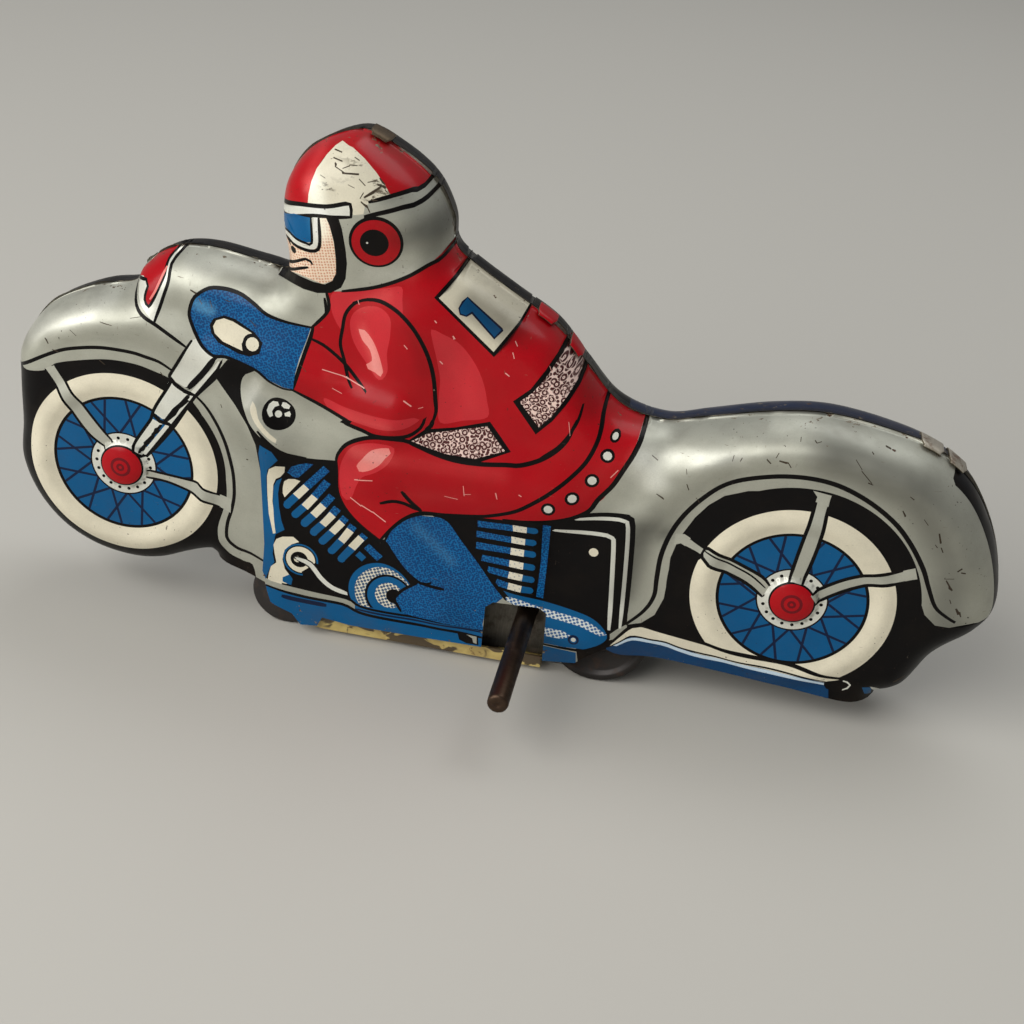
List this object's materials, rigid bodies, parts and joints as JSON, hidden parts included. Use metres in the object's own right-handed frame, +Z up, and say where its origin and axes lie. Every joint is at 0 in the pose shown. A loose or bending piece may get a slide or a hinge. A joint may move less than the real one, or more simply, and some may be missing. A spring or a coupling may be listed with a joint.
{
  "type": "wind up tin toy motorcycle with rider",
  "caption": "Lithographed tin motorcycle with a crouching rider, pressed from two shells over a spring clockwork that drives its running wheels.",
  "frame": {"origin": "on the surface the toy stands on, below the centre of its bounding box; the seam between the two shells lies 9.17 mm towards +Y of it, because the winding shaft sticks out on the -Y side only", "axes": "+Z up, the motorcycle faces -X, its left side faces -Y, every axle lies along Y"},
  "size_m": [0.1409, 0.0394, 0.0744],
  "materials": {
    "litho_tin_left": "lithographed silver tin, worn",
    "litho_tin_right": "lithographed silver tin, worn",
    "base_tin": "printed yellow and brown tin, scratched",
    "motor_plate_left_steel": "dull plain steel",
    "motor_plate_right_steel": "dull plain steel",
    "pillar_front_steel": "turned steel",
    "pillar_top_front_steel": "turned steel",
    "pillar_top_rear_steel": "turned steel",
    "spring_steel": "blued spring strip",
    "front_axle_steel": "drawn wire",
    "winding_shaft_steel": "dark browned steel",
    "ratchet_steel": "stamped steel",
    "great_wheel_brass": "stamped brass",
    "rivet_steel": "steel",
    "click_steel": "stamped steel",
    "second_arbor_steel": "drawn steel",
    "second_pinion_brass": "cut brass",
    "second_wheel_brass": "stamped brass",
    "drive_axle_steel": "drawn steel",
    "drive_pinion_brass": "cut brass",
    "rear_wheel_left_steel": "black, rubbed and rusty",
    "rear_wheel_right_steel": "black, rubbed and rusty",
    "roller_paint": "black with rust at the rim"
  },
  "bodies": {
    "toy_frame": {"left_shell": "litho_tin_left", "right_shell": "litho_tin_right", "base_plate": "base_tin", "motor_plate_left": "motor_plate_left_steel", "motor_plate_right": "motor_plate_right_steel", "pillar_front": "pillar_front_steel", "pillar_top_front": "pillar_top_front_steel", "pillar_top_rear": "pillar_top_rear_steel", "mainspring": "spring_steel", "front_axle": "front_axle_steel"},
    "drive": {"drive_axle": "drive_axle_steel", "drive_pinion": "drive_pinion_brass", "rear_wheel_left": "rear_wheel_left_steel", "rear_wheel_right": "rear_wheel_right_steel"},
    "second": {"second_arbor": "second_arbor_steel", "second_pinion": "second_pinion_brass", "second_wheel": "second_wheel_brass"},
    "great": {"great_wheel": "great_wheel_brass", "click_rivet": "rivet_steel"},
    "click_lever": {"click": "click_steel"},
    "winding": {"winding_shaft": "winding_shaft_steel", "ratchet_wheel": "ratchet_steel"},
    "front_rolling": {"front_roller": "roller_paint"}
  },
  "joints": [
    {"name": "drive_axle_turn", "type": "hinge", "parent": "toy_frame", "child": "drive", "pos_m": [0.0177, 0.00917, 0.00715], "axis": [0, 1, 0], "continuous": true},
    {"name": "second_arbor_turn", "type": "hinge", "parent": "toy_frame", "child": "second", "pos_m": [0.01368, 0.00917, 0.01453], "axis": [0, 1, 0], "continuous": true},
    {"name": "great_wheel_turn", "type": "hinge", "parent": "toy_frame", "child": "great", "pos_m": [0.007, 0.00917, 0.0088], "axis": [0, 1, 0], "continuous": true},
    {"name": "winding_turn", "type": "hinge", "parent": "great", "child": "winding", "pos_m": [0.007, 0.00917, 0.0088], "axis": [0, 1, 0], "range_deg": [0, 1800]},
    {"name": "click_rock", "type": "hinge", "parent": "great", "child": "click_lever", "pos_m": [0.0038, 0.00917, 0.0052], "axis": [0, 1, 0], "range_deg": [-12, 0]},
    {"name": "front_roller_turn", "type": "hinge", "parent": "toy_frame", "child": "front_rolling", "pos_m": [-0.0286, 0.00917, 0.0052], "axis": [0, 1, 0], "continuous": true}
  ],
  "couplings": [
    {"joint": "second_arbor_turn", "follows": "drive_axle_turn", "ratio": -0.3125},
    {"joint": "great_wheel_turn", "follows": "drive_axle_turn", "ratio": 0.091912}
  ]
}
